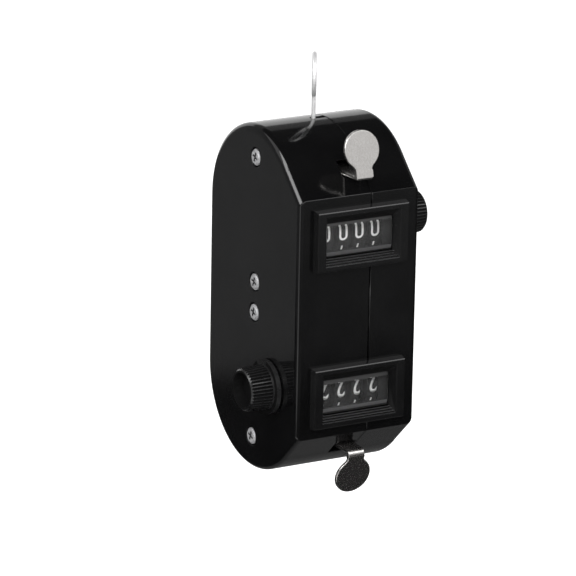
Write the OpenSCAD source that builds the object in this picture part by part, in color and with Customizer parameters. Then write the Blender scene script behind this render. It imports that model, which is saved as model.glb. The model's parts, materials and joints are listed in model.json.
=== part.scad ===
// Double hand tally counter: two four-figure counters in one black case.
// The lower counter is the upper one turned half round about the front-to-back line.
// Millimetres. The back face lies on y = 0, the front faces -y, z is up.

/* [Case] */
// Height over the two round ends
case_h = 90; // [86:0.5:100]
// Width between the two flat side faces
case_w = 34.4; // [34:0.2:40]
// Depth from the flat back to the flat front
case_d = 46.8; // [46.4:0.2:50]
// How far the round ends stay behind the flat front
crown_back = 0.8; // [0.6:0.1:1.6]
// Height of the round end above the flat front
slope_h = 13.9; // [13:0.1:15]
// Wall of both case halves
wall = 2; // [1.6:0.1:2.2]
// Rounding round the side faces
edge_r = 2; // [1:0.1:2.4]
// Rounding of the two upright front edges
front_edge_r = 1.3; // [0.6:0.1:1.6]
// Parting plane, to the right of the middle
seam_x = 3.3; // [2:0.1:4]
// Open line between the two halves
seam_gap = 0.12; // [0.06:0.02:0.2]
// Tongue that laps into the right half
tongue_l = 1.4; // [1:0.1:2]

/* [Windows] */
// Width of the raised frame at its front
bezel_w = 25.8; // [24:0.2:27]
// Height of the raised frame at its front
bezel_h = 15.4; // [14:0.2:16]
// How far the frame stands out of the front
bezel_t = 2.2; // [1.6:0.1:2.8]
// Draft of the frame's outer sides
bezel_draft = 0.3; // [0.1:0.05:0.5]
// Clear width of the window
window_w = 18.8; // [18:0.1:19.4]
// Clear height of the window
window_h = 8.7; // [8:0.1:9.2]
// Slope of the frame's inner side walls
window_splay = 1.25; // [0.6:0.05:1.6]
// Height of the terraced upper and lower inner walls
terrace_h = 2; // [1.2:0.1:2.2]
// Number of terraces in each of these walls
terraces = 4; // [2:1:6]
// Thickness of the clear window behind its front bevel
lens_t = 1.5; // [1.2:0.1:1.6]

/* [Number wheels] */
// Distance of the wheel shaft from the flat front
shaft_in = 13.8; // [13.4:0.1:14.2]
// Distance of the wheel shaft from the round end
shaft_down = 24.6; // [24:0.1:25.2]
// Diameter of the wheel shaft
shaft_d = 3; // [2.4:0.1:3.4]
// Outside radius of a number wheel
wheel_r = 9.6; // [9:0.1:9.8]
// Width of the rim that carries the figures
rim_w = 3.3; // [3:0.1:3.4]
// Spacing of the wheels along the shaft
wheel_pitch = 4.675; // [4.6:0.025:4.7]
// Thickness of the ratchet on each wheel
ratchet_t = 1; // [0.8:0.05:1.1]
// Tip radius of the ratchet teeth
ratchet_r = 8; // [7.4:0.1:8.2]

/* [Count levers] */
// Offset of the lever from the middle
lever_x = 0.2; // [0:0.1:1]
// Thickness of the lever sheet
sheet_t = 1; // [0.8:0.1:1.1]
// Diameter of the round finger pad
pad_d = 9.9; // [9:0.1:11]
// Width of the neck below the pad
neck_w = 4.7; // [4:0.1:5.2]
// Length of the neck from the bend to the rim of the pad
neck_h = 1; // [0.8:0.1:1.6]
// Rounding of the two inner corners between neck and pad
neck_fillet = 1.6; // [0.6:0.1:1.6]
// How far the bend stands in front of the flat front
bend_out = 1.7; // [1.4:0.1:2.4]
// Height of the lever arm above the wheel shaft
arm_up = 15.3; // [15.1:0.1:15.5]
// Backward lean of neck and pad
pad_lean = 15; // [12:1:20]
// Full press of the lever, one figure of the wheels
lever_travel = 18; // [15:0.5:18.5]
// Width of the slot in the case for the lever
slot_w = 5.9; // [5.6:0.1:7]

/* [Reset knobs] */
// Length of the knob outside the case
knob_l = 7.8; // [7:0.2:10]
// Diameter of the knob at its outer end
knob_d = 10.8; // [9.5:0.1:12]
// Number of grip grooves round a knob
knob_grooves = 40; // [24:2:48]
// Depth of the hollow in the knob's end
knob_hollow = 2.6; // [1:0.1:3]
// Width of the flange round the foot of the knob
knob_flange = 1.1; // [0.5:0.1:1.2]

/* [Screws and hanging loop] */
// Diameter of a screw head
head_d = 4.2; // [3.6:0.1:4.6]
// Diameter of a screw shank
screw_d = 2.2; // [1.8:0.1:2.4]
// Wire of the hanging loop
loop_wire = 1.2; // [1:0.1:1.4]
// Inside width of the hanging loop
loop_in = 9; // [6:0.2:11]
// Height of the loop above the case
loop_h = 17; // [15:0.5:20]
// Turn of the loop about its upright stem at rest
loop_turn = 60.5; // [0:0.5:180]

/* [Clearances] */
// Radial clearance of a turning fit
run_fit = 0.05; // [0.02:0.01:0.08]
// Radial clearance of a fixed fit
set_fit = 0.02; // [0.01:0.01:0.03]
// Clearance round the window parts
seat_gap = 0.1; // [0.05:0.05:0.2]

/* [Hidden] */
$fn = 64;
half_w = case_w / 2;
front = -case_d;
inner_x = half_w - wall;
crown_r = (case_d - crown_back) / 2;
crown_y = -crown_r;
crown_z = case_h / 2 - crown_r;
face_half = case_h / 2 - slope_h;
lean_y = case_d - crown_r;
lean_z = face_half - crown_z;
slope_r = crown_r - 0.06;
slope_a = atan2(lean_y, lean_z) - acos(slope_r / sqrt(lean_y * lean_y + lean_z * lean_z));
axis_y = front + shaft_in;
axis_z = case_h / 2 - shaft_down;
shaft_r = shaft_d / 2;
web_t = 1;
hub_r = shaft_r + 1.5;
stack_l = -1.5 * wheel_pitch - rim_w / 2;
stack_r = 1.5 * wheel_pitch + rim_w / 2 + ratchet_t;
side_l = stack_l - 0.4;
side_r = stack_r + 0.4;
plug_w = window_w + 4.2;
plug_h = window_h + 3.9;
lens_w = window_w + 2;
lens_h = window_h + 1.9;
lens_front = front - 0.1;
land = 0.3;
bend_y = front - bend_out;
pad_up = pad_d / 2 + neck_h;
bend_in = 0.3;
bend = [bend_y - axis_y + bend_in + sheet_t, arm_up + sheet_t / 2 + bend_in];
lap = 0.4;
step = 0.02;
pivot = [-2.1, 13.2];
pivot_r = 1;
hub = 1.9;
tail = [13, 11];
tail_t = 1.2;
pin_r = 0.8;
tip_r = ratchet_r + 0.4;
tip_a = 74;
coil_r = 2.5;
coil_wire = 0.3;
coil_turns = 2.25;
coil_pitch = 1.05;
boss_l = -4.7;
boss_r = 7;
end_y = front + 22.8;
mid_y = front + 22.4;
screw_spots = [[end_y, case_h / 2 - 8], [mid_y, 4.6], [mid_y, -3.4], [end_y, 8.6 - case_h / 2]];
post_r = 2.9;
head_seat = 0.8;
loop_y = crown_y + 0.4;
stem_r = 0.44 * loop_wire;
knob_bore = half_w + knob_l - knob_hollow - 0.6;
spring_base = [17, -7.6];
spring_tip = [4.14, -7.08];
spring_a = atan2(spring_tip[1] - spring_base[1], spring_base[0] - spring_tip[0]);
detent_l = norm(spring_base - spring_tip);

// A flat outline in the y-z plane, drawn out along x
module along_x(x0, x1) {
  translate([x0, 0, 0]) rotate([90, 0, 90]) linear_extrude(height = x1 - x0) children();
}

// A flat outline in the x-y plane, drawn out along z
module along_z(z0, z1) {
  translate([0, 0, z0]) linear_extrude(height = z1 - z0) children();
}

// A rod along x, at the given place in the y-z plane
module rod_x(x0, x1, r, y = 0, z = 0) {
  translate([x0, y, z]) rotate([0, 90, 0]) cylinder(h = x1 - x0, r = r);
}

// Moves a piece from the wheel shaft's own centre to the upper counter
module on_shaft() {
  translate([0, axis_y, axis_z]) children();
}

// The half turn that makes the lower counter from the upper one
module lower() {
  rotate([0, 180, 0]) children();
}

// The same cut or boss for both counters
module both() {
  children();
  lower() children();
}

function slope_t(o) = [crown_y - (slope_r - o) * sin(slope_a), crown_z + (slope_r - o) * cos(slope_a)];
function face_z(o) = crown_z + (slope_r - o + (front + o - crown_y) * sin(slope_a)) / cos(slope_a);

// Outline of the straight middle and the two front slopes, drawn in by o
module mid_outline(o) {
  t = slope_t(o);
  f = face_z(o);
  polygon([[front + o, f], t, [crown_y, crown_z], [-o, crown_z],
    [-o, -crown_z], [crown_y, -crown_z], [t[0], -t[1]], [front + o, -f]]);
}

// Side outline of the case, drawn in by o
module side_outline(o) {
  for (s = [1, -1]) translate([crown_y, s * crown_z]) circle(r = crown_r - o);
  mid_outline(o);
}

// A rectangle whose two upper corners are rounded
module top_round(w, h, r) {
  translate([-w / 2, -h]) square([w, h - r]);
  translate([-w / 2 + r, -h]) square([w - 2 * r, h]);
  for (s = [1, -1]) translate([s * (w / 2 - r), -r]) circle(r = r);
}

// Round upper end of the case: a disc with rounded rims
module crown() {
  translate([0, crown_y, crown_z]) rotate([0, 90, 0]) rotate_extrude() {
    translate([0, -half_w]) square([crown_r - edge_r, case_w]);
    translate([0, edge_r - half_w]) square([crown_r, case_w - 2 * edge_r]);
    for (s = [1, -1]) translate([crown_r - edge_r, s * (half_w - edge_r)]) circle(r = edge_r);
  }
}

// The whole outside of the case as one solid
module case_solid() {
  both() crown();
  intersection() {
    along_x(-half_w, half_w) mid_outline(0);
    along_z(-case_h, case_h) top_round(case_w, case_d * 2, edge_r);
    along_z(-case_h, case_h) translate([0, front]) mirror([0, 1]) top_round(case_w, case_d * 2, front_edge_r);
    for_slope(1);
    for_slope(-1);
  }
}

// Everything below the upper front slope (or above the lower one), with rounded side edges
module for_slope(s) {
  t = slope_t(0);
  translate([0, t[0], s * t[1]]) mirror([0, 0, (1 - s) / 2]) rotate([slope_a - 90, 0, 0])
    translate([0, 0, -case_h]) linear_extrude(height = 2 * case_h) mirror([0, 1])
      top_round(case_w, 3 * case_h, edge_r);
}

// Opening in the front for the window frame
module bezel_hole() {
  translate([-plug_w / 2 - seat_gap, front - 1, axis_z - plug_h / 2 - seat_gap])
    cube([plug_w + 2 * seat_gap, wall + 2, plug_h + 2 * seat_gap]);
}

// A point of the lever after a press of a degrees, seen from its pivot
function pressed(p, a) = [p[0] * cos(a) + p[1] * sin(a), -p[0] * sin(a) + p[1] * cos(a)];

// Slot that the lever arm swings in, from rest to full press
module lever_slot() {
  arm = arm_up - pivot[1];
  low = arm - sheet_t / 2 - 0.4;
  high = arm + sheet_t / 2 + 0.4;
  a = lever_travel + 1;
  out = shaft_in + pivot[0] + 5.7;
  along_x(lever_x - slot_w / 2, lever_x + slot_w / 2) translate([axis_y + pivot[0], axis_z + pivot[1]])
    polygon([[0, low], [-out, low], [-out, 10], pressed([2 - out, high], a), pressed([-1, high], a)]);
}

// Slot at the crown, open to the parting plane, that takes the stem of the loop
module loop_slot() {
  r = stem_r + 0.3;
  translate([0, loop_y, case_h / 2 - wall - 3]) cylinder(h = wall + 6, r = r);
  translate([0, loop_y - r, case_h / 2 - wall - 3]) cube([seam_x + 0.01, 2 * r, wall + 6]);
}

// Blind bearing for the far end of the wheel shaft
module far_boss() {
  on_shaft() difference() {
    rod_x(-inner_x - 0.5, side_l, shaft_r + 1.3);
    rod_x(-inner_x, 0, shaft_r + run_fit);
  }
}

// Bearing at the knob end of the wheel shaft
module knob_boss() {
  on_shaft() rod_x(side_r + 1.2, inner_x + 0.5, shaft_r + 1.7);
}

// Hole right through the side wall at the knob end
module knob_hole() {
  on_shaft() rod_x(side_r, half_w + 2, shaft_r + run_fit);
}

// Blind socket that holds one end of the lever's pivot pin
module pivot_boss(x0, x1, hole0, hole1) {
  on_shaft() difference() {
    rod_x(x0, x1, pivot_r + 1, pivot[0], pivot[1]);
    rod_x(hole0, hole1, pivot_r + set_fit, pivot[0], pivot[1]);
  }
}
module pivot_boss_l() {
  pivot_boss(-inner_x - 0.5, boss_l, -inner_x + 1, boss_l + 1);
}
module pivot_boss_r() {
  pivot_boss(boss_r, inner_x + 0.5, boss_r - 1, inner_x - 1);
}

// Flat comb outline of the detent spring: a back strip and four fingers
module detent_outline(grow) {
  translate([side_l - 1.4 - grow, -1.5 - grow]) square([side_r - side_l + 2.8 + 2 * grow, 3 + 2 * grow]);
  for (i = [0:3]) translate([finger_x(i) - 0.4, 0]) square([0.8, detent_l]);
}
function finger_x(i) = (i - 1) * wheel_pitch;

// Places a flat sheet in the tilted plane of the detent spring
module detent_plane() {
  translate([0, axis_y + spring_base[0], axis_z + spring_base[1]]) rotate([-spring_a, 0, 0]) mirror([0, 1, 0])
    children();
}

// Block on a side wall whose slot holds one end of the detent spring
module detent_block(x0, x1) {
  difference() {
    translate([x0, axis_y + spring_base[0] - 2.6, axis_z + spring_base[1] - 2.4]) cube([x1 - x0, 5.2, 4.8]);
    detent_plane() translate([0, 0, -0.05]) linear_extrude(height = 0.5) detent_outline(0.05);
  }
}

// Tubular post for one case screw
module screw_post(p, x0, x1) {
  rod_x(x0, x1, post_r, p[0], p[1]);
}

// Shell of both halves before the parting cut
module hollow_case() {
  difference() {
    case_solid();
    along_x(-inner_x, inner_x) side_outline(wall);
  }
}

// Left case half: moulded black plastic, carries the screw heads and the lapping tongue
module left_shell() {
  edge = seam_x - seam_gap / 2;
  color([0.06, 0.06, 0.06]) difference() {
    union() {
      intersection() {
        hollow_case();
        translate([-case_w, -2 * case_d, -case_h]) cube([case_w + edge, 3 * case_d, 2 * case_h]);
      }
      along_x(edge - 0.6, edge + tongue_l) difference() {
        side_outline(wall / 2 + 0.1);
        side_outline(wall - 0.2);
      }
      for (p = screw_spots) screw_post(p, -inner_x - 0.5, edge);
      far_boss();
      lower() knob_boss();
      pivot_boss_l();
      lower() pivot_boss_r();
      detent_block(-inner_x - 0.5, side_l);
      lower() detent_block(side_r, inner_x + 0.5);
    }
    both() bezel_hole();
    both() lever_slot();
    loop_slot();
    lower() knob_hole();
    for (p = screw_spots) {
      rod_x(-half_w - 1, seam_x + 3, screw_d / 2 + 0.2, p[0], p[1]);
      rod_x(-half_w - 1, -half_w + head_seat, head_d / 2 + 0.35, p[0], p[1]);
    }
  }
}

// Right case half: moulded black plastic, takes the screw ends
module right_shell() {
  edge = seam_x + seam_gap / 2;
  color([0.06, 0.06, 0.06]) difference() {
    union() {
      intersection() {
        hollow_case();
        translate([edge, -2 * case_d, -case_h]) cube([case_w, 3 * case_d, 2 * case_h]);
      }
      for (p = screw_spots) screw_post(p, edge, inner_x + 0.5);
      knob_boss();
      lower() far_boss();
      pivot_boss_r();
      lower() pivot_boss_l();
      detent_block(side_r, inner_x + 0.5);
      lower() detent_block(-inner_x - 0.5, side_l);
    }
    along_x(seam_x - 1, seam_x + tongue_l + 0.2) difference() {
      side_outline(wall / 2);
      for (p = screw_spots) translate(p) circle(r = post_r + 0.4);
    }
    both() bezel_hole();
    both() lever_slot();
    knob_hole();
    for (p = screw_spots) rod_x(0, seam_x + 9, screw_d / 2 + run_fit, p[0], p[1]);
  }
}

// Four plated screws with cross recesses, driven from the left side
module case_screws() {
  x0 = -half_w + head_seat;
  color([0.75, 0.75, 0.74]) for (p = screw_spots) difference() {
    union() {
      rod_x(x0 - 0.7, x0, head_d / 2, p[0], p[1]);
      rod_x(x0 - 1, x0 - 0.6, head_d / 2 - 0.35, p[0], p[1]);
      rod_x(x0 - 0.1, seam_x + 8, screw_d / 2, p[0], p[1]);
    }
    translate([x0 - 1, p[0], p[1]]) for (a = [20, 110]) rotate([a, 0, 0]) cube([1.4, 0.55, 2.5], center = true);
  }
}

// Ring of bright wire on a headed stem that turns in the crown
module hanging_loop() {
  r = loop_wire / 2;
  ring = loop_in / 2 + r;
  top = case_h / 2 + loop_h - r - ring;
  low = case_h / 2 - wall - 1.4;
  color([0.72, 0.72, 0.72]) translate([0, loop_y, 0]) rotate([0, 0, loop_turn]) {
    translate([0, 0, low]) cylinder(h = 1, r = r + 1.1);
    translate([0, 0, low + 0.2]) cylinder(h = top - ring - low - 0.2, r = stem_r);
    translate([0, 0, top]) rotate([90, 0, 0]) rotate_extrude() translate([ring, 0]) circle(r = r);
  }
}

// Raised black frame: tapered outside, splayed and terraced inside, plugged into the front
module bezel() {
  y0 = front - bezel_t;
  back = front + wall;
  w = bezel_w / 2;
  h = bezel_h / 2;
  ww = window_w / 2;
  wh = window_h / 2;
  step_y = (bezel_t - 0.2) / terraces;
  step_z = terrace_h / terraces;
  color([0.07, 0.07, 0.07]) translate([0, 0, axis_z]) difference() {
    union() {
      intersection() {
        along_x(-w - 2, w + 2) polygon([[y0, h], [front, h + bezel_draft], [front, -h - bezel_draft], [y0, -h]]);
        along_z(-h - 2, h + 2) polygon([[w, y0], [w + bezel_draft, front], [-w - bezel_draft, front], [-w, y0]]);
      }
      translate([-plug_w / 2, front - 0.5, -plug_h / 2]) cube([plug_w, wall + 0.5, plug_h]);
    }
    intersection() {
      along_z(-h - 2, h + 2) polygon([[ww + window_splay, y0], [ww, front - 0.2], [ww, back + 1],
        [-ww, back + 1], [-ww, front - 0.2], [-ww - window_splay, y0], [-ww - window_splay, y0 - 1],
        [ww + window_splay, y0 - 1]]);
      along_x(-w, w) {
        translate([y0 - 1, -wh]) square([wall + bezel_t + 3, window_h]);
        for (i = [0:terraces - 1]) translate([y0 - 1, -wh - terrace_h + i * step_z])
          square([1 + (i + 1) * step_y, window_h + 2 * terrace_h - 2 * i * step_z]);
      }
    }
    translate([-lens_w / 2 - seat_gap, front + land, -lens_h / 2 - seat_gap])
      cube([lens_w + 2 * seat_gap, wall, lens_h + 2 * seat_gap]);
  }
}

// Clear moulded window: a flange behind the frame and a bevelled pane in the opening
module window_pane() {
  y0 = front + land + seat_gap / 2;
  h = window_h / 2 - seat_gap;
  color([0.8, 0.85, 0.88, 0.35]) translate([0, 0, axis_z]) {
    translate([-lens_w / 2, y0, -lens_h / 2]) cube([lens_w, lens_t, lens_h]);
    along_x(-window_w / 2 + seat_gap, window_w / 2 - seat_gap)
      polygon([[y0 + 0.2, h], [y0 + 0.2, -h], [y0, -h], [lens_front, -h + 1.1], [lens_front, h - 1.1], [y0, h]]);
  }
}

// Ten ratchet teeth, steep on the driven side, with one deep tooth for the carry
module ratchet_outline() {
  low = ratchet_r - 1;
  polygon([for (i = [0:9]) for (k = [0, 1, 2])
    let (a = i * 36 + (k == 0 ? 0 : k == 1 ? 0 : 18),
      r = k == 0 ? (i == 3 ? low - 0.9 : low) : k == 1 ? ratchet_r : (ratchet_r + low) / 2)
    [r * sin(a), r * cos(a)]]);
}

// One number wheel: rim for the figures, web, hub and ratchet, on its place along the shaft
module wheel(i) {
  x = (i - 1.5) * wheel_pitch;
  color([0.1, 0.1, 0.1]) on_shaft() translate([x, 0, 0]) difference() {
    union() {
      difference() {
        rod_x(-rim_w / 2, rim_w / 2, wheel_r);
        rod_x(-rim_w / 2 - 1, rim_w / 2 - web_t, wheel_r - 1.4);
      }
      rod_x(-rim_w / 2, rim_w / 2 + ratchet_t, hub_r);
      along_x(rim_w / 2 - 0.2, rim_w / 2 + ratchet_t) ratchet_outline();
    }
    rod_x(-rim_w, rim_w + ratchet_t, shaft_r + run_fit);
    for (k = [0:4]) rotate([k * 72, 0, 0]) rod_x(0, rim_w + ratchet_t, 1, 0, 5);
  }
}

// Steel shaft through the wheels, grooved for the resetting catches, ending in the knob
module wheel_shaft() {
  color([0.7, 0.7, 0.7]) on_shaft() difference() {
    rod_x(-inner_x + 0.3, knob_bore - 0.1, shaft_r);
    translate([stack_l + 0.2, -0.3, shaft_r - 0.45]) cube([stack_r - stack_l - 0.4, 0.6, 1]);
  }
}

// Brass collar that keeps the shaft from sliding out
module shaft_collar() {
  color([0.72, 0.6, 0.3]) on_shaft() difference() {
    rod_x(side_r, side_r + 0.8, shaft_r + 1.3);
    rod_x(side_r - 1, side_r + 2, shaft_r + set_fit);
  }
}

// Black reset knob: base flange, tapered grip with grooves, dished end
module reset_knob() {
  x0 = half_w + 0.35;
  x1 = half_w + knob_l;
  r1 = knob_d / 2;
  r0 = r1 + 0.5;
  color([0.06, 0.06, 0.06]) on_shaft() difference() {
    union() {
      rod_x(x0, x0 + 1.2, r0 + knob_flange);
      translate([x0 + 1, 0, 0]) rotate([0, 90, 0]) cylinder(h = x1 - x0 - 1.5, r1 = r0, r2 = r1 + 0.05);
      translate([x1 - 0.5, 0, 0]) rotate([0, 90, 0]) cylinder(h = 0.5, r1 = r1 + 0.05, r2 = r1 - 0.4);
    }
    for (k = [0:knob_grooves - 1]) rotate([k * 360 / knob_grooves, 0, 0])
      translate([x0 + 1.7, 0, r0]) rotate([0, asin((r0 - r1) / (x1 - x0)), 0]) rotate([45, 0, 0])
        translate([0, -0.28, -0.28]) cube([knob_l, 0.56, 0.56]);
    translate([x1 - knob_hollow, 0, 0]) rotate([0, 90, 0])
      cylinder(h = knob_hollow + 0.01, r1 = r1 - 1.5, r2 = r1 - 0.9);
    rod_x(x0 - 1, knob_bore, shaft_r + set_fit);
  }
}

// Side view of the arm and its bend as one strip of sheet, with a lap into the neck
module lever_strip() {
  t2 = sheet_t / 2;
  turn = 90 + pad_lean;
  root = lap * [sin(pad_lean), cos(pad_lean)];
  outer = [for (i = [0:8]) bend + (bend_in + sheet_t) * [cos(270 - turn * i / 8), sin(270 - turn * i / 8)]];
  inner = [for (i = [8:-1:0]) bend + bend_in * [cos(270 - turn * i / 8), sin(270 - turn * i / 8)]];
  polygon(concat([[pivot[0], arm_up - t2]], outer, [outer[8] + root, inner[0] + root],
    inner, [[pivot[0], arm_up + t2]]));
}

// Outline of the pad: a disc that runs down into the neck with rounded inner corners
module pad_outline() {
  r = pad_d / 2;
  w = neck_w / 2 + neck_fillet;
  c = sqrt((r + neck_fillet) * (r + neck_fillet) - w * w);
  circle(r = r);
  translate([step - neck_w / 2, step - pad_up]) square([neck_w - 2 * step, pad_up]);
  for (s = [1, -1]) difference() {
    polygon([[0, 0], [s * w, -c], [0, -c]]);
    translate([s * w, -c]) circle(r = neck_fillet - step);
  }
}

// Nickelled lever: hub on the pivot pin, arm through the slot, bent-up round pad, tail with the pawl's eye
module count_lever() {
  x0 = lever_x - neck_w / 2;
  x1 = lever_x + neck_w / 2;
  reach = tail - pivot;
  n = tail_t / 2 * [-reach[1], reach[0]] / norm(reach);
  color([0.75, 0.74, 0.72]) on_shaft() {
    difference() {
      union() {
        rod_x(boss_l + 0.3, boss_r - 0.3, hub, pivot[0], pivot[1]);
        along_x(x0, x1) lever_strip();
        along_x(x0, x1) polygon([pivot + n, pivot - n, tail - n, tail + n]);
        rod_x(x0, x1, pin_r + 0.8, tail[0], tail[1]);
      }
      rod_x(boss_l, boss_r, pivot_r + run_fit, pivot[0], pivot[1]);
      rod_x(x0 - 5, x1 + 5, pin_r + set_fit, tail[0], tail[1]);
    }
    translate([lever_x, bend[0], bend[1]]) rotate([-pad_lean, 0, 0])
      translate([0, step - bend_in, pad_up]) rotate([90, 0, 0])
        linear_extrude(height = sheet_t + 2 * step) pad_outline();
  }
}

// Steel pin that the lever turns on, held between the two case halves
module lever_pin() {
  color([0.7, 0.7, 0.7]) on_shaft() rod_x(-inner_x + 1.2, inner_x - 1.2, pivot_r, pivot[0], pivot[1]);
}

// Rod through the lever's tail that the pawl hangs on
module pawl_pin() {
  color([0.7, 0.7, 0.7]) on_shaft() rod_x(finger_x(0) - 1.4, finger_x(3) + 1.4, pin_r, tail[0], tail[1]);
}

// Comb pawl: two ears on the pin, a cross strip and four prongs that reach the ratchets
module drive_pawl() {
  tip = tip_r * [sin(tip_a), cos(tip_a)];
  d = (tip - tail) / norm(tip - tail);
  n = [-d[1], d[0]];
  color([0.62, 0.6, 0.56]) on_shaft() difference() {
    union() {
      for (x = [finger_x(0) - 1, finger_x(3) + 0.2]) {
        rod_x(x, x + 0.8, pin_r + 0.8, tail[0], tail[1]);
        along_x(x, x + 0.8) polygon([tail + n, tail - n, tail + 3 * d - 0.8 * n, tail + 3 * d + 0.8 * n]);
      }
      along_x(finger_x(0) - 1, finger_x(3) + 1) polygon([tail + 2.2 * d + 0.4 * n, tail + 2.2 * d - 0.4 * n,
        tail + 3.6 * d - 0.4 * n, tail + 3.6 * d + 0.4 * n]);
      for (i = [0:3]) along_x(finger_x(i) - 0.4, finger_x(i) + 0.4)
        polygon([tail + 3 * d + 0.6 * n, tail + 3 * d - 0.6 * n, tip - 0.3 * n, tip + 0.3 * n - 0.3 * d]);
    }
    rod_x(finger_x(0) - 3, finger_x(3) + 3, pin_r + run_fit, tail[0], tail[1]);
  }
}

// Centre line of the return spring: a fixed leg, the coils and a leg hooked on the lever
function coil_x(i) = lever_x - neck_w / 2 - 0.3 - coil_wire + (i - 8 * coil_turns) * coil_pitch / 8;
coil_line = concat(
  [[coil_x(0), -coil_r, 1.7]],
  [for (i = [0:8 * coil_turns]) [coil_x(i), coil_r * cos(180 + i * 45), coil_r * sin(180 + i * 45)]],
  [[coil_x(8 * coil_turns) + 0.1, 3, -coil_r], [coil_x(8 * coil_turns) + 1.4, 7.5, -2.3]]);
coil_gap = min([for (i = [0:8 * coil_turns - 6]) for (j = [i + 6:8 * coil_turns])
  norm(coil_line[i + 1] - coil_line[j + 1])]) - 2 * coil_wire;
echo(return_spring_least_gap = coil_gap);

// A six-sided tube along a list of points
module tube(line, r) {
  n = len(line);
  dir = [for (i = [0:n - 1]) let (d = line[min(i + 1, n - 1)] - line[max(i - 1, 0)]) d / norm(d)];
  side = [for (d = dir) let (s = cross(d, [1, 0, 0])) s / norm(s)];
  pts = [for (i = [0:n - 1]) for (k = [0:5])
    line[i] + r * (cos(k * 60) * side[i] + sin(k * 60) * cross(dir[i], side[i]))];
  walls = [for (i = [0:n - 2]) for (k = [0:5]) for (h = [0, 1])
    h == 0 ? [i * 6 + k, (i + 1) * 6 + k, i * 6 + (k + 1) % 6]
      : [i * 6 + (k + 1) % 6, (i + 1) * 6 + k, (i + 1) * 6 + (k + 1) % 6]];
  polyhedron(pts, concat(walls, [[0, 1, 2, 3, 4, 5]], [[for (k = [5:-1:0]) (n - 1) * 6 + k]]));
}

// Torsion spring of round wire that brings the lever back
module return_spring() {
  color([0.66, 0.66, 0.66]) on_shaft() translate([0, pivot[0], pivot[1]]) tube(coil_line, coil_wire);
}

// Leaf spring with four fingers that hold the wheels on a figure
module detent_spring() {
  color([0.66, 0.65, 0.62]) detent_plane() linear_extrude(height = 0.4) detent_outline(0);
}

left_shell();
right_shell();
case_screws();
hanging_loop();
bezel();  // upper_bezel
window_pane();  // upper_window
wheel(0);  // upper_thousands_wheel
wheel(1);  // upper_hundreds_wheel
wheel(2);  // upper_tens_wheel
wheel(3);  // upper_units_wheel
wheel_shaft();  // upper_wheel_shaft
shaft_collar();  // upper_shaft_collar
reset_knob();  // upper_reset_knob
count_lever();  // upper_count_lever
lever_pin();  // upper_lever_pin
drive_pawl();  // upper_drive_pawl
pawl_pin();  // upper_pawl_pin
return_spring();  // upper_return_spring
detent_spring();  // upper_detent_spring
lower() bezel();  // lower_bezel
lower() window_pane();  // lower_window
lower() wheel(0);  // lower_thousands_wheel
lower() wheel(1);  // lower_hundreds_wheel
lower() wheel(2);  // lower_tens_wheel
lower() wheel(3);  // lower_units_wheel
lower() wheel_shaft();  // lower_wheel_shaft
lower() shaft_collar();  // lower_shaft_collar
lower() reset_knob();  // lower_reset_knob
lower() count_lever();  // lower_count_lever
lower() lever_pin();  // lower_lever_pin
lower() drive_pawl();  // lower_drive_pawl
lower() pawl_pin();  // lower_pawl_pin
lower() return_spring();  // lower_return_spring
lower() detent_spring();  // lower_detent_spring
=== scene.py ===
import json
import math

import bmesh
import bpy
from mathutils import Matrix, Vector


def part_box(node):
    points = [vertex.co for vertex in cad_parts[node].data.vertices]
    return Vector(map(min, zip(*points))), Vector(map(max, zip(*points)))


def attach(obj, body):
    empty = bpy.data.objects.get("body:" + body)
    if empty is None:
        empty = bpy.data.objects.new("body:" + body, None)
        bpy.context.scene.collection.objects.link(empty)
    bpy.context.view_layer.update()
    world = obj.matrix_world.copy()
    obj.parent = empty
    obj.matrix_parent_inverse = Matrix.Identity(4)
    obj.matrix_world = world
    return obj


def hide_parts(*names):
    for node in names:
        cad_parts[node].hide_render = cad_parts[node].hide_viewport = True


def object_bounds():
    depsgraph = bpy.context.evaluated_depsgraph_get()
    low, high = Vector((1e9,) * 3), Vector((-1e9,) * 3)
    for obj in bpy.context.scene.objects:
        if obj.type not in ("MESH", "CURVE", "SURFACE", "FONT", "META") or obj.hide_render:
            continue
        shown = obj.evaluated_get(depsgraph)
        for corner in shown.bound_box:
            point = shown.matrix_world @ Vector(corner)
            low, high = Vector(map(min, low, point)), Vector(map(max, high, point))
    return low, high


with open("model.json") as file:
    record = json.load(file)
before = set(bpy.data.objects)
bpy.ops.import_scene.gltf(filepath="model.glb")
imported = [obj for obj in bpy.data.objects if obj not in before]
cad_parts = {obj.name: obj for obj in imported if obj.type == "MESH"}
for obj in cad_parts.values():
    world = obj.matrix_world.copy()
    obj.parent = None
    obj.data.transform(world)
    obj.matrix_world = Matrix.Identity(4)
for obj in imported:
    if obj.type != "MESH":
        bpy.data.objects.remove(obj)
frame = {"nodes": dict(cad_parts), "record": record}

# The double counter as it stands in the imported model, and its box before anything is dressed.
# Two like counters share one case; the lower one is the upper one turned half round.
cad_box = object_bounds()
nodes = frame["nodes"]
counters = ("upper", "lower")
decades = ("thousands", "hundreds", "tens", "units")
bodies = frame["record"]["behaviour"]["bodies"]
body_of_node = {node: body for body, members in bodies.items() for node in members}


# Wheel shafts, lever pins and pawl pins: bright drawn steel rod, cut to length.
# Draw marks run along the rod, so the grain is stretched along x.
def new_finish(name, colour, roughness, metallic=0.0):
    finish = bpy.data.materials.new(name)
    finish.use_nodes = True
    shader = finish.node_tree.nodes["Principled BSDF"]
    shader.inputs["Base Color"].default_value = (*colour, 1.0)
    shader.inputs["Roughness"].default_value = roughness
    shader.inputs["Metallic"].default_value = metallic
    return finish, finish.node_tree, shader


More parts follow.
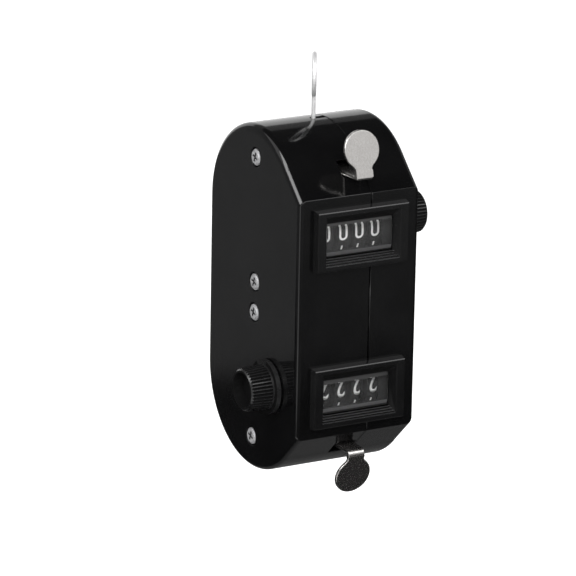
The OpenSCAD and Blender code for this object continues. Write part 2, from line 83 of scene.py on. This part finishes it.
def grain(tree, size, stretch=(1.0, 1.0, 1.0), detail=3.0):
    place = tree.nodes.new("ShaderNodeTexCoord")
    mapping = tree.nodes.new("ShaderNodeMapping")
    noise = tree.nodes.new("ShaderNodeTexNoise")
    mapping.inputs["Scale"].default_value = [1.0 / s for s in stretch]
    noise.inputs["Scale"].default_value = 1.0 / size
    noise.inputs["Detail"].default_value = detail
    tree.links.new(place.outputs["Object"], mapping.inputs["Vector"])
    tree.links.new(mapping.outputs["Vector"], noise.inputs["Vector"])
    return noise.outputs["Fac"]


def ramp(tree, source, low, high, near=0.3, far=0.7):
    reach = tree.nodes.new("ShaderNodeMapRange")
    reach.inputs["From Min"].default_value = near
    reach.inputs["From Max"].default_value = far
    reach.inputs["To Min"].default_value = low
    reach.inputs["To Max"].default_value = high
    tree.links.new(source, reach.inputs["Value"])
    return reach.outputs["Result"]


def tint(tree, shader, source, dark, light):
    shades = tree.nodes.new("ShaderNodeValToRGB")
    first, last = shades.color_ramp.elements
    first.position, first.color = 0.3, (*dark, 1.0)
    last.position, last.color = 0.7, (*light, 1.0)
    tree.links.new(source, shades.inputs["Fac"])
    tree.links.new(shades.outputs["Color"], shader.inputs["Base Color"])


def relief(tree, shader, source, height):
    bump = tree.nodes.new("ShaderNodeBump")
    bump.inputs["Distance"].default_value = height
    bump.inputs["Strength"].default_value = 1.0
    tree.links.new(source, bump.inputs["Height"])
    tree.links.new(bump.outputs["Normal"], shader.inputs["Normal"])


def dress(node, finish):
    nodes[node].data.materials.clear()
    nodes[node].data.materials.append(finish)


drawn_steel, tree, shader = new_finish("drawn_steel", (0.56, 0.56, 0.55), 0.3, metallic=1.0)
draw_marks = grain(tree, 0.0004, stretch=(30.0, 1.0, 1.0))
tint(tree, shader, draw_marks, (0.47, 0.47, 0.46), (0.6, 0.6, 0.59))
tree.links.new(ramp(tree, draw_marks, 0.22, 0.4), shader.inputs["Roughness"])
relief(tree, shader, draw_marks, 0.00001)
for counter in counters:
    for piece in ("wheel_shaft", "lever_pin", "pawl_pin"):
        dress(f"{counter}_{piece}", drawn_steel)


# Shaft collars: turned brass rings pressed on the shaft so that it cannot slide out.
# Fine turning marks run round the ring.
turned_brass, tree, shader = new_finish("turned_brass", (0.66, 0.5, 0.22), 0.3, metallic=1.0)
turning = grain(tree, 0.00035, stretch=(0.4, 3.0, 3.0))
tint(tree, shader, turning, (0.58, 0.43, 0.18), (0.72, 0.56, 0.27))
tree.links.new(ramp(tree, turning, 0.22, 0.42), shader.inputs["Roughness"])
for counter in counters:
    dress(f"{counter}_shaft_collar", turned_brass)


# Return springs, detent springs and pawls: blued-grey spring steel, wound or pressed.
# The sheet has a faint rolled grain and darker heat-treated patches.
spring_steel, tree, shader = new_finish("spring_steel", (0.4, 0.4, 0.41), 0.34, metallic=1.0)
heat = grain(tree, 0.002)
tint(tree, shader, heat, (0.3, 0.3, 0.32), (0.48, 0.47, 0.45))
tree.links.new(ramp(tree, grain(tree, 0.0003), 0.26, 0.44), shader.inputs["Roughness"])
for counter in counters:
    for piece in ("return_spring", "detent_spring", "drive_pawl"):
        dress(f"{counter}_{piece}", spring_steel)


# Number wheels: black moulded plastic with a satin rim, free on the shaft.
# Mould bloom and light scuffs keep the rims from being one flat black.
wheel_black, tree, shader = new_finish("wheel_black", (0.014, 0.014, 0.0145), 0.6)
shader.inputs["Specular IOR Level"].default_value = 0.2
bloom = grain(tree, 0.0018)
tint(tree, shader, bloom, (0.012, 0.012, 0.0124), (0.016, 0.016, 0.0165))
tree.links.new(ramp(tree, grain(tree, 0.0005), 0.55, 0.7), shader.inputs["Roughness"])
relief(tree, shader, grain(tree, 0.0001), 0.000004)
for counter in counters:
    for decade in decades:
        dress(f"{counter}_{decade}_wheel", wheel_black)


# Figures: white ink printed round each rim, ten to a wheel, one tenth of a turn apart.
# The upper counter stands at 0000, the lower one at 2222 and reads upside down.
# The one is a plain short stroke, and the print does not sit quite in the middle of every rim.
rim_width = 0.0033
figure_height = 0.0049
figure_width = 0.0024
ink_stroke = 0.00058
ink_thickness = 0.00002
bold_offset = 0.015
curve_steps = 6
ring_segments = 28
figure_turn = math.radians(36)
shown_figure = {"upper": 0, "lower": 2}
rest_turn = {"upper": math.radians(4.0), "lower": math.radians(-1.4)}
bends_per_figure = 10
stroke_height = 0.0041
stroke_share = 0.7
print_shift = {"upper": (-0.00055, -0.00027, -0.00035, -0.0005), "lower": (0.0, 0.0, 0.0, 0.0)}

figure_white, tree, shader = new_finish("figure_white", (0.88, 0.88, 0.87), 0.5)
ink = grain(tree, 0.0004)
tint(tree, shader, ink, (0.82, 0.82, 0.81), (0.92, 0.92, 0.91))
tree.links.new(ramp(tree, ink, 0.6, 0.42), shader.inputs["Roughness"])


def flat_nought():
    bm = bmesh.new()
    straight = (figure_height - figure_width) / 2
    for radius in (figure_width / 2, figure_width / 2 - ink_stroke):
        ring = bmesh.ops.create_circle(bm, cap_ends=False, segments=ring_segments, radius=radius)
        for v in ring["verts"]:
            v.co.y += math.copysign(straight, v.co.y)
    bmesh.ops.bridge_loops(bm, edges=bm.edges[:])
    bmesh.ops.recalc_face_normals(bm, faces=bm.faces)
    mesh = bpy.data.meshes.new("figure_0")
    bm.to_mesh(mesh)
    bm.free()
    return mesh


def flat_figure(figure):
    letter = bpy.data.curves.new(f"figure_{figure}", "FONT")
    letter.offset = bold_offset
    letter.body = "I" if figure == 1 else str(figure)
    letter.resolution_u = curve_steps
    holder = bpy.data.objects.new(f"figure_{figure}", letter)
    bpy.context.scene.collection.objects.link(holder)
    mesh = bpy.data.meshes.new_from_object(holder)
    bpy.data.objects.remove(holder)
    return mesh


def sized_figure(mesh, wide, tall):
    bm = bmesh.new()
    bm.from_mesh(mesh)
    left, right = min(v.co.x for v in bm.verts), max(v.co.x for v in bm.verts)
    foot, head = min(v.co.y for v in bm.verts), max(v.co.y for v in bm.verts)
    middle = Vector(((left + right) / 2, (foot + head) / 2, 0))
    bmesh.ops.translate(bm, verts=bm.verts, vec=-middle)
    bmesh.ops.scale(bm, verts=bm.verts, vec=(wide, tall / (head - foot), 1))
    return bm


def cut_through(bm, place, facing):
    bmesh.ops.bisect_plane(bm, geom=bm.verts[:] + bm.edges[:] + bm.faces[:], plane_co=place, plane_no=facing)


flat_figures = [flat_figure(k) if k else flat_nought() for k in range(10)]
widest = [v.co.x for v in flat_figures[8].vertices]
figure_scale = figure_width / (max(widest) - min(widest))
for counter in counters:
    hand = 1 if counter == "upper" else -1
    for decade, shift in zip(decades, print_shift[counter]):
        low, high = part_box(f"{counter}_{decade}_wheel")
        axis = (low + high) / 2
        rim_radius = (high.z - low.z) / 2
        rim_x = (low.x if hand > 0 else high.x) + hand * rim_width / 2 + shift
        print_bm = bmesh.new()
        for k, mesh in enumerate(flat_figures):
            wide = {0: 1.0, 1: stroke_share * figure_scale}.get(k, figure_scale)
            bm = sized_figure(mesh, wide, stroke_height if k == 1 else figure_height)
            for i in range(1, bends_per_figure):
                cut_through(bm, (0, figure_height * (i / bends_per_figure - 0.5), 0), (0, 1, 0))
            lifted = bmesh.ops.extrude_face_region(bm, geom=bm.faces[:])
            lifted = [g for g in lifted["geom"] if isinstance(g, bmesh.types.BMVert)]
            bmesh.ops.translate(bm, verts=lifted, vec=(0, 0, ink_thickness))
            bmesh.ops.recalc_face_normals(bm, faces=bm.faces)
            turn = figure_turn * (k - shown_figure[counter]) - rest_turn[counter]
            for v in bm.verts:
                down = turn - v.co.y / rim_radius
                reach = rim_radius + v.co.z
                v.co = (rim_x + hand * v.co.x, axis.y - reach * math.cos(down),
                        axis.z - hand * reach * math.sin(down))
            flat = bpy.data.meshes.new("flat")
            bm.to_mesh(flat)
            bm.free()
            print_bm.from_mesh(flat)
            bpy.data.meshes.remove(flat)
        figures = bpy.data.meshes.new(f"{counter}_{decade}_figures")
        print_bm.to_mesh(figures)
        print_bm.free()
        figures.materials.append(figure_white)
        piece = bpy.data.objects.new(f"{counter}_{decade}_figures", figures)
        bpy.context.scene.collection.objects.link(piece)
        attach(piece, f"{counter}_{decade}")


# Windows: clear moulded plastic, dropped in behind the frames, with a slope along its top and bottom.
# The middle is polished and lets light reach the wheels; the slopes end in matt strips, the lower one painted
# paler as painted light and the upper one darker as painted shade.
# The sides and the back round the row of figures are painted to hide the works.
same_place = 0.000001
same_plane = math.radians(0.3)
smallest_face = 0.00000001
flat_corners = 12


def merged_copy(node):
    mesh = nodes[node].data.copy()
    drawn = mesh.attributes.new("drawn_normal", "FLOAT_VECTOR", "CORNER")
    drawn.data.foreach_set("vector", [c for normal in mesh.corner_normals for c in normal.vector])
    if "custom_normal" in mesh.attributes:
        mesh.attributes.remove(mesh.attributes["custom_normal"])
    bm = bmesh.new()
    bm.from_mesh(mesh)
    bpy.data.meshes.remove(mesh)
    bmesh.ops.remove_doubles(bm, verts=bm.verts, dist=same_place)
    bmesh.ops.dissolve_limit(bm, angle_limit=same_plane, verts=bm.verts, edges=bm.edges)
    drawn = bm.loops.layers.float_vector["drawn_normal"]
    for face in bm.faces:
        if face.calc_area() > smallest_face:
            for loop in face.loops:
                if loop[drawn].dot(face.normal) < 0.5:
                    loop[drawn] = face.normal
    return bm


def shown_copy(bm, node, finishes):
    mesh = bpy.data.meshes.new(f"{node}_shown")
    drawn = bm.loops.layers.float_vector["drawn_normal"]
    bm.normal_update()
    for face in bm.faces:
        face.smooth = True
        if len(face.loops) > flat_corners:
            for loop in face.loops:
                loop[drawn] = face.normal
    bm.to_mesh(mesh)
    bm.free()
    mesh.normals_split_custom_set([v.vector for v in mesh.attributes["drawn_normal"].data])
    mesh.attributes.remove(mesh.attributes["drawn_normal"])
    for finish in finishes:
        mesh.materials.append(finish)
    piece = bpy.data.objects.new(f"{node}_shown", mesh)
    bpy.context.scene.collection.objects.link(piece)
    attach(piece, body_of_node[node])
    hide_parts(node)
    return piece


def let_lamps_through(tree, shader, colour):
    path = tree.nodes.new("ShaderNodeLightPath")
    open_pane = tree.nodes.new("ShaderNodeBsdfTransparent")
    open_pane.inputs["Color"].default_value = (*colour, 1.0)
    pane = tree.nodes.new("ShaderNodeMixShader")
    tree.links.new(path.outputs["Is Shadow Ray"], pane.inputs["Fac"])
    tree.links.new(shader.outputs["BSDF"], pane.inputs[1])
    tree.links.new(open_pane.outputs["BSDF"], pane.inputs[2])
    tree.links.new(pane.outputs["Shader"], tree.nodes["Material Output"].inputs["Surface"])


clear_plastic, tree, shader = new_finish("clear_plastic", (0.97, 0.97, 0.97), 0.03)
shader.inputs["IOR"].default_value = 1.49
shader.inputs["Transmission Weight"].default_value = 0.985
tree.links.new(ramp(tree, grain(tree, 0.004), 0.01, 0.06), shader.inputs["Roughness"])
let_lamps_through(tree, shader, (0.95, 0.95, 0.95))

strip_finishes = []
# The two matt strips are lit and shaded copies of one finish: painted shade on the strip above the middle,
# painted light on the strip below it.
for name, tone in (("high_strip_painted_shade", 0.008), ("low_strip_painted_light", 0.085), ("mask_grey", 0.012)):
    matt, tree, shader = new_finish(name, (tone, tone, tone), 0.4)
    frost = grain(tree, 0.0006)
    tint(tree, shader, frost, (0.88 * tone, 0.88 * tone, 0.9 * tone),
         (1.12 * tone, 1.12 * tone, 1.14 * tone))
    tree.links.new(ramp(tree, frost, 0.35, 0.45), shader.inputs["Roughness"])
    strip_finishes.append(matt)

mask_paint, tree, shader = new_finish("mask_paint", (0.006, 0.006, 0.006), 0.7)
coats = grain(tree, 0.0008)
tint(tree, shader, coats, (0.004, 0.004, 0.004), (0.009, 0.009, 0.009))
tree.links.new(ramp(tree, coats, 0.6, 0.8), shader.inputs["Roughness"])

strip_slope = 0.2
clear_foot = -0.0032
clear_head = {"upper": 0.0035, "lower": 0.0032}
row_end = 0.0072
for counter in counters:
    bm = merged_copy(f"{counter}_window")
    middle = sum(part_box(f"{counter}_window"), Vector()) / 2
    for edge in (clear_foot, clear_head[counter]):
        cut_through(bm, (0, 0, middle.z + edge), (0, 0, 1))
    cut_through(bm, (row_end, 0, 0), (1, 0, 0))
    for face in bm.faces:
        turned = Vector([abs(c) for c in face.normal])
        centre = face.calc_center_median()
        on_back = face.normal.y > 0.5
        masked = not clear_foot < centre.z - middle.z < clear_head[counter]
        if max(turned.x, turned.z) > 0.9 or on_back and masked:
            face.material_index = 1
        elif on_back and centre.x > row_end:
            face.material_index = 4
        elif masked and face.normal.y < -strip_slope and turned.z > strip_slope:
            face.material_index = 2 if centre.z > middle.z else 3
        else:
            face.material_index = 0
    shown_copy(bm, f"{counter}_window", (clear_plastic, mask_paint, *strip_finishes))


# Window frames: polished black plastic, stepped above and below the window, glued into the case.
# Their corners are eased by about a tenth of a millimetre, as a mould leaves them, and their rims are shaved.
# The treads below the window are painted paler as painted light from above, the recessed steps above it darker
# as painted shade, and the gap between pane and frame near black as painted shade.
corner_turn = math.radians(25)
few_sides = 6
room_share = 2.2


def has_room(edge, width):
    for face in edge.link_faces:
        along = edge.calc_length() if len(face.edges) <= few_sides else face.calc_perimeter() / 2
        if face.calc_area() <= width * along:
            return False
    return edge.calc_length() > 0


def ease_corners(bm, width, only=None):
    drawn = bm.loops.layers.float_vector["drawn_normal"]
    sharp = []
    for edge in only or bm.edges:
        if len(edge.link_loops) == 2 and has_room(edge, room_share * width):
            one, other = edge.link_loops
            turns = (one[drawn].angle(other.link_loop_next[drawn], 0.0),
                     one.link_loop_next[drawn].angle(other[drawn], 0.0))
            if max(turns) > corner_turn:
                sharp.append(edge)
    eased = bmesh.ops.bevel(bm, geom=sharp, offset=width, offset_type="OFFSET", segments=1, profile=0.5,
                            affect="EDGES", material=-1, clamp_overlap=False, loop_slide=True)
    fresh = set(eased["faces"])
    for face in fresh:
        for loop in face.loops:
            beside = [near[drawn] for near in loop.vert.link_loops if near.face not in fresh]
            blend = sum(beside, Vector()) if beside else Vector(face.normal)
            loop[drawn] = blend.normalized()


def shave_edge(bm, place, facing):
    drawn = bm.loops.layers.float_vector["drawn_normal"]
    cut = bmesh.ops.bisect_plane(bm, geom=bm.verts[:] + bm.edges[:] + bm.faces[:], dist=0.0000001,
                                 plane_co=place, plane_no=facing, clear_outer=True)
    rim = [g for g in cut["geom_cut"] if isinstance(g, bmesh.types.BMEdge)]
    for face in bmesh.ops.holes_fill(bm, edges=rim, sides=0)["faces"]:
        face.normal_update()
        for loop in face.loops:
            loop[drawn] = face.normal


frame_black, tree, shader = new_finish("frame_black", (0.0055, 0.0055, 0.0057), 0.14)
shade = grain(tree, 0.006)
tint(tree, shader, shade, (0.0047, 0.0047, 0.0049), (0.0063, 0.0063, 0.0065))
tree.links.new(ramp(tree, grain(tree, 0.0012), 0.08, 0.15), shader.inputs["Roughness"])
relief(tree, shader, grain(tree, 0.0016, detail=1.0), 0.0000012)
# Painted light: the upward treads below the window are coloured paler than the frame.
frame_tread_painted_light, tree, shader = new_finish("frame_tread_painted_light", (0.035, 0.035, 0.036), 0.35)
rub_and_tread_light = grain(tree, 0.0012)
tint(tree, shader, rub_and_tread_light, (0.03, 0.03, 0.031), (0.04, 0.04, 0.041))
tree.links.new(ramp(tree, rub_and_tread_light, 0.3, 0.42), shader.inputs["Roughness"])
# Painted shade on the recessed steps above the window.
frame_shade, tree, shader = new_finish("frame_shade", (0.003, 0.003, 0.0031), 0.4)
shader.inputs["Specular IOR Level"].default_value = 0.2
tint(tree, shader, grain(tree, 0.002), (0.002, 0.002, 0.0021), (0.004, 0.004, 0.0041))
# Painted shade: the shadow gap between pane and frame is painted near black.
gap_painted_shade, tree, shader = new_finish("gap_painted_shade", (0.0008, 0.0008, 0.0008), 0.7)
shader.inputs["Specular IOR Level"].default_value = 0.03
tint(tree, shader, grain(tree, 0.001), (0.0005, 0.0005, 0.0005), (0.0012, 0.0012, 0.0012))
frame_ease = 0.00008
gap_depth = 0.0015
gap_half = 0.0051
rim_draft = 0.0003
rim_shave = 0.0003
rim_slant = math.radians(30)
bezel_rise = 0.0022
inner_half = 0.0072
for counter in counters:
    bm = merged_copy(f"{counter}_bezel")
    low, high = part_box(f"{counter}_bezel")
    for edge, side in ((low.z, -1), (high.z, 1)):
        shave_edge(bm, (0, low.y, edge - side * (rim_draft + rim_shave)),
                   (0, -math.cos(rim_slant), side * math.sin(rim_slant)))
    middle = (low + high) / 2
    for face in bm.faces:
        centre = face.calc_center_median()
        height = centre.z - middle.z
        depth = centre.y - low.y
        if rim_draft < depth < bezel_rise and 0 < height < inner_half and abs(face.normal.x) < 0.3:
            face.material_index = 2
        elif face.normal.z > 0.9 and depth < bezel_rise and -inner_half < height < 0:
            face.material_index = 1
        elif face.normal.y < -0.9 and depth > gap_depth and -gap_half < height < 0:
            face.material_index = 3
    ease_corners(bm, frame_ease)
    shown_copy(bm, f"{counter}_bezel", (frame_black, frame_tread_painted_light, frame_shade, gap_painted_shade))


# Case halves: moulded black plastic with a high gloss, closed by four screws at a seam right of the middle.
# A slight ripple from the mould and hair-fine wear marks break the reflections.
case_black, tree, shader = new_finish("case_black", (0.003, 0.003, 0.0032), 0.1)
shade = grain(tree, 0.012)
tint(tree, shader, shade, (0.0022, 0.0022, 0.0024), (0.004, 0.004, 0.0042))
wear = grain(tree, 0.0007, stretch=(1.0, 1.0, 6.0), detail=6.0)
tree.links.new(ramp(tree, wear, 0.08, 0.13), shader.inputs["Roughness"])
relief(tree, shader, grain(tree, 0.003, detail=1.0), 0.000002)
outline_ease = 0.00035
seam_ease = 0.00018
inner_ease = 0.00006
near_outside = 0.00005


def outer_edges(bm, seam_side=0):
    found = []
    reaches = {}
    for edge in bm.edges:
        if len(edge.link_faces) == 2 and edge.calc_face_angle(0.0) > corner_turn:
            middle = (edge.verts[0].co + edge.verts[1].co) / 2
            for side in [face.normal for face in edge.link_faces]:
                key = tuple(round(c, 4) for c in side)
                if key not in reaches:
                    reaches[key] = max(v.co.dot(side) for v in bm.verts)
                if reaches[key] - middle.dot(side) > near_outside or side.x * seam_side > 0.5:
                    break
            else:
                found.append(edge)
    return found


for half, seam_side in (("left_shell", 1), ("right_shell", -1)):
    bm = merged_copy(half)
    ease_corners(bm, outline_ease, only=outer_edges(bm, seam_side))
    ease_corners(bm, seam_ease, only=outer_edges(bm))
    ease_corners(bm, inner_ease)
    shown_copy(bm, half, (case_black,))


# Case screws: small cross-head screws of bright zinc plated steel, sunk in round seats.
# The plating is pale and a little cloudy; the punched cross is painted darker as painted shade.
screw_zinc, tree, shader = new_finish("screw_zinc", (0.6, 0.6, 0.61), 0.4, metallic=0.65)
plating = grain(tree, 0.0005)
tint(tree, shader, plating, (0.5, 0.5, 0.51), (0.68, 0.68, 0.69))
tree.links.new(ramp(tree, plating, 0.34, 0.5), shader.inputs["Roughness"])
# Painted shade in the punched cross.
cross_painted_shade, tree, shader = new_finish("cross_painted_shade", (0.1, 0.1, 0.1), 0.6, metallic=0.6)
tint(tree, shader, grain(tree, 0.0003), (0.06, 0.06, 0.06), (0.14, 0.14, 0.14))
cross_depth = 0.0007
screw_ease = 0.00008
bm = merged_copy("case_screws")
outside = min(v.co.x for v in bm.verts)
for face in bm.faces:
    depth = face.calc_center_median().x - outside
    wall = abs(face.normal.x) < 0.6 and cross_depth * 0.4 < depth < cross_depth * 0.7
    ground = face.normal.x < -0.9 and depth > cross_depth * 0.7
    face.material_index = 1 if wall or ground else 0
ease_corners(bm, screw_ease)
shown_copy(bm, "case_screws", (screw_zinc, cross_painted_shade))


# Count levers: pressed steel with a satin nickel finish, bent up to a round finger pad.
# The sheet is tumbled, so its edges are well rounded and the satin is even; the upper one is bent more tightly.
satin_nickel, tree, shader = new_finish("satin_nickel", (0.72, 0.7, 0.68), 0.32, metallic=1.0)
satin = grain(tree, 0.0002, detail=5.0)
tint(tree, shader, grain(tree, 0.003), (0.7, 0.68, 0.66), (0.74, 0.72, 0.7))
tree.links.new(ramp(tree, satin, 0.25, 0.28), shader.inputs["Roughness"])
bend_axis = Vector((-0.0472, 0.0365))
bend_radius = 0.0013
tight_radius = 0.0005
lean = math.radians(15)
touch = 0.00005
lever_ease = 0.0003


def tighten_bend(bm):
    front = Vector((-math.cos(lean), math.sin(lean)))
    along = Vector((math.sin(lean), math.cos(lean)))
    under = Vector((0, -1))
    corner = (front + under) / (1 + front.dot(under))
    half_turn = front.angle(corner)
    for v in bm.verts:
        place = Vector((v.co.y, v.co.z)) - bend_axis
        if abs(place.length - bend_radius) < touch / 10 and place.angle(corner) < half_turn + 0.01:
            place = corner * (bend_radius - tight_radius) + place * tight_radius / bend_radius
        elif place.dot(front) > bend_radius - touch / 5 and abs(place.dot(along)) < touch:
            place -= along * (bend_radius - tight_radius) * math.tan(half_turn)
        else:
            continue
        place += bend_axis
        v.co.y, v.co.z = place


for counter in counters:
    bm = merged_copy(f"{counter}_count_lever")
    if counter == "upper":
        tighten_bend(bm)
    ease_corners(bm, lever_ease)
    shown_copy(bm, f"{counter}_count_lever", (satin_nickel,))


# Reset knobs: black moulded plastic with a grooved grip and a dished end, pressed on the shaft.
# The grip is duller than the case, where fingers rub it; its ridge tops are painted lighter as painted
# highlight, and its groove walls and dished end darker as painted shade.
knob_black, tree, shader = new_finish("knob_black", (0.005, 0.005, 0.0053), 0.2)
rub_and_tread_light = grain(tree, 0.0015)
tint(tree, shader, rub_and_tread_light, (0.0035, 0.0035, 0.0037), (0.008, 0.008, 0.0084))
tree.links.new(ramp(tree, rub_and_tread_light, 0.15, 0.34), shader.inputs["Roughness"])
# Painted shade for the dished end and the groove walls.
recess_painted_shade, tree, shader = new_finish("recess_painted_shade", (0.003, 0.003, 0.0031), 0.8)
shader.inputs["Specular IOR Level"].default_value = 0.1
tint(tree, shader, grain(tree, 0.0008), (0.002, 0.002, 0.0021), (0.004, 0.004, 0.0041))
# Painted highlight: the outward ridge tops are coloured lighter than the knob's own black.
ridge_painted_highlight, tree, shader = new_finish("ridge_painted_highlight", (0.014, 0.014, 0.0145), 0.3)
tint(tree, shader, grain(tree, 0.001), (0.011, 0.011, 0.0114), (0.017, 0.017, 0.0175))
tree.links.new(ramp(tree, grain(tree, 0.0015), 0.22, 0.36), shader.inputs["Roughness"])
recess_radius = 0.0046
for counter in counters:
    node = f"{counter}_reset_knob"
    bm = merged_copy(node)
    low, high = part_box(node)
    axis = (low + high) / 2
    for face in bm.faces:
        outward = face.calc_center_median() - axis
        outward.x = 0
        along = abs(face.normal.x) < 0.5
        if outward.length < recess_radius or along and face.normal.dot(outward.normalized()) < 0.85:
            face.material_index = 1
        else:
            face.material_index = 2 if along else 0
    shown_copy(bm, node, (knob_black, recess_painted_shade, ridge_painted_highlight))


# Hanging loop: bright steel wire bent to a ring on a headed stem, free to turn in the crown.
# Its surface is drawn smooth, with faint marks along the wire.
loop_steel, tree, shader = new_finish("loop_steel", (0.88, 0.88, 0.88), 0.45, metallic=0.6)
wire = grain(tree, 0.0006)
tint(tree, shader, wire, (0.82, 0.82, 0.82), (0.92, 0.92, 0.92))
tree.links.new(ramp(tree, wire, 0.38, 0.52), shader.inputs["Roughness"])
dress("hanging_loop", loop_steel)


# Studio: a pale floor well below the hanging counter, a white surround and soft lamps.
# Grey boards, seen only in reflections, give the black case something quiet to mirror.
scene = bpy.context.scene
scene.view_settings.view_transform = "Standard"
floor_drop = 0.2
floor_reach = 20.0
lowest = cad_box[0].z


def seen_rays(tree):
    path = tree.nodes.new("ShaderNodeLightPath")
    first = tree.nodes.new("ShaderNodeMath")
    second = tree.nodes.new("ShaderNodeMath")
    second.use_clamp = True
    tree.links.new(path.outputs["Is Camera Ray"], first.inputs[0])
    tree.links.new(path.outputs["Is Glossy Ray"], first.inputs[1])
    tree.links.new(first.outputs["Value"], second.inputs[0])
    tree.links.new(path.outputs["Is Transmission Ray"], second.inputs[1])
    return second.outputs["Value"]


def board(name, size, matrix, finish):
    bm = bmesh.new()
    bmesh.ops.create_grid(bm, x_segments=1, y_segments=1, size=0.5)
    bmesh.ops.scale(bm, verts=bm.verts, vec=(size[0], size[1], 1))
    bmesh.ops.transform(bm, verts=bm.verts, matrix=matrix)
    mesh = bpy.data.meshes.new(name)
    bm.to_mesh(mesh)
    bm.free()
    mesh.materials.append(finish)
    piece = bpy.data.objects.new(name, mesh)
    scene.collection.objects.link(piece)
    return piece


floor_white, tree, shader = new_finish("floor_white", (0.9, 0.9, 0.9), 0.9)
shader.inputs["Specular IOR Level"].default_value = 0.0
shader.inputs["Emission Color"].default_value = (1.0, 1.0, 1.0, 1.0)
glow = ramp(tree, seen_rays(tree), 0.0, 0.6, near=0.0, far=1.0)
tree.links.new(glow, shader.inputs["Emission Strength"])
floor_place = Matrix.Translation((0, 0, lowest - floor_drop))
board("floor", (2 * floor_reach, 2 * floor_reach), floor_place, floor_white)

world = bpy.data.worlds.new("surround")
scene.world = world
world.use_nodes = True
tree = world.node_tree
fill = tree.nodes["Background"]
fill.inputs["Color"].default_value = (1.0, 1.0, 1.0, 1.0)
fill.inputs["Strength"].default_value = 0.5
white = tree.nodes.new("ShaderNodeBackground")
white.inputs["Strength"].default_value = 1.0
white.inputs["Color"].default_value = (1.0, 1.0, 1.0, 1.0)
split = tree.nodes.new("ShaderNodeMixShader")
tree.links.new(seen_rays(tree), split.inputs["Fac"])
tree.links.new(fill.outputs["Background"], split.inputs[1])
tree.links.new(white.outputs["Background"], split.inputs[2])
tree.links.new(split.outputs["Shader"], tree.nodes["World Output"].inputs["Surface"])


def grey_board(name, centre, facing, size, level):
    finish = bpy.data.materials.new(name)
    finish.use_nodes = True
    tree = finish.node_tree
    glow = tree.nodes.new("ShaderNodeEmission")
    glow.inputs["Strength"].default_value = level
    tree.links.new(glow.outputs["Emission"], tree.nodes["Material Output"].inputs["Surface"])
    turn = Vector(facing).to_track_quat("Z", "Y").to_matrix().to_4x4()
    piece = board(name, size, Matrix.Translation(centre) @ turn, finish)
    piece.visible_camera = False
    piece.visible_diffuse = False
    piece.visible_shadow = False


grey_board("board_under", (0, 0, -0.24), (0, 0, 1), (3.0, 3.0), 0.012)
grey_board("board_under_back", (0.3, 0.3, -0.235), (0, 0, 1), (0.7, 0.8), 0.15)
grey_board("board_left_back", (-0.5, 0.5, 0.143), (0, -1, 0), (0.76, 0.714), 0.19)
grey_board("board_left", (-0.75, -0.15, 0.03), (1, 0, 0), (1.3, 0.54), 0.19)
grey_board("board_left_front", (-0.52, -0.45, -0.1), (0.75, 0.63, 0.1), (0.34, 0.5), 1.1)
grey_board("board_left_low", (-0.27, -0.25, -0.225), (0, 0, 1), (0.36, 0.28), 1.4)
grey_board("board_front", (0, -0.5, -0.14), (0, 1, 0), (1.5, 0.08), 0.13)
grey_board("board_front_mid", (0, -0.5, -0.08), (0, 1, 0), (1.5, 0.08), 0.22)
grey_board("board_front_high", (0, -0.5, 0.28), (0, 1, 0), (1.5, 0.64), 0.53)
grey_board("board_front_soft", (0.2, -0.49, 0.43), (0, 1, 0), (1.1, 0.3), 3.0)
grey_board("board_ceiling", (0.3, 0.05, 0.6), (0, 0, -1), (1.3, 1.1), 0.03)
grey_board("board_back_high", (0.1, 0.6, 0.48), (0, -1, 0), (1.6, 0.26), 0.2)
grey_board("board_right_low", (0.75, 0, -0.145), (-1, 0, 0), (1.2, 0.19), 0.03)
grey_board("board_right", (0.75, 0, 0.25), (-1, 0, 0), (1.2, 0.6), 0.3)


def lamp(name, place, aim, size, power):
    light = bpy.data.lights.new(name, "AREA")
    light.shape = "RECTANGLE"
    light.size = size[0]
    light.size_y = size[1]
    light.energy = power
    holder = bpy.data.objects.new(name, light)
    holder.location = place
    holder.rotation_euler = (Vector(aim) - Vector(place)).to_track_quat("-Z", "Y").to_euler()
    scene.collection.objects.link(holder)


middle = (cad_box[0] + cad_box[1]) / 2
lamp("lamp_front", (-0.55, -1.4, 0.9), middle, (0.8, 0.8), 16.0)
lamp("lamp_left", (-1.1, -0.05, 0.85), middle, (0.5, 1.0), 9.0)
lamp("lamp_right", (1.2, -0.4, 0.6), middle, (0.8, 0.8), 8.0)


# Camera: a long lens, a little above and to the left of the front, at the photograph's angle.
# The aim point lies beside the middle of the case, so that the case stands left of the picture's middle.
view_turn = 0.5150495664
view_drop = 0.295151703
view_roll = 0.0190309037
view_distance = 1.10069
case_middle = Vector((0, -0.0234, 0))
aside = 0.0059414
below = 0.0004358
picture = 576
focal_pixels = 4332.0873
ahead = Vector((math.sin(view_turn) * math.cos(view_drop),
                math.cos(view_turn) * math.cos(view_drop),
                -math.sin(view_drop)))
level = Vector((math.cos(view_turn), -math.sin(view_turn), 0))
upright = level.cross(ahead)
right = math.cos(view_roll) * level + math.sin(view_roll) * upright
up = math.cos(view_roll) * upright - math.sin(view_roll) * level
eye = case_middle - aside * right + below * up - view_distance * ahead
lens = bpy.data.cameras.new("camera")
lens.sensor_width = 36.0
lens.lens = focal_pixels / picture * lens.sensor_width
lens.clip_start = 0.01
lens.clip_end = 100.0
camera = bpy.data.objects.new("camera", lens)
camera.matrix_world = Matrix((
    (right.x, up.x, -ahead.x, eye.x),
    (right.y, up.y, -ahead.y, eye.y),
    (right.z, up.z, -ahead.z, eye.z),
    (0, 0, 0, 1)))
scene.collection.objects.link(camera)
scene.camera = camera
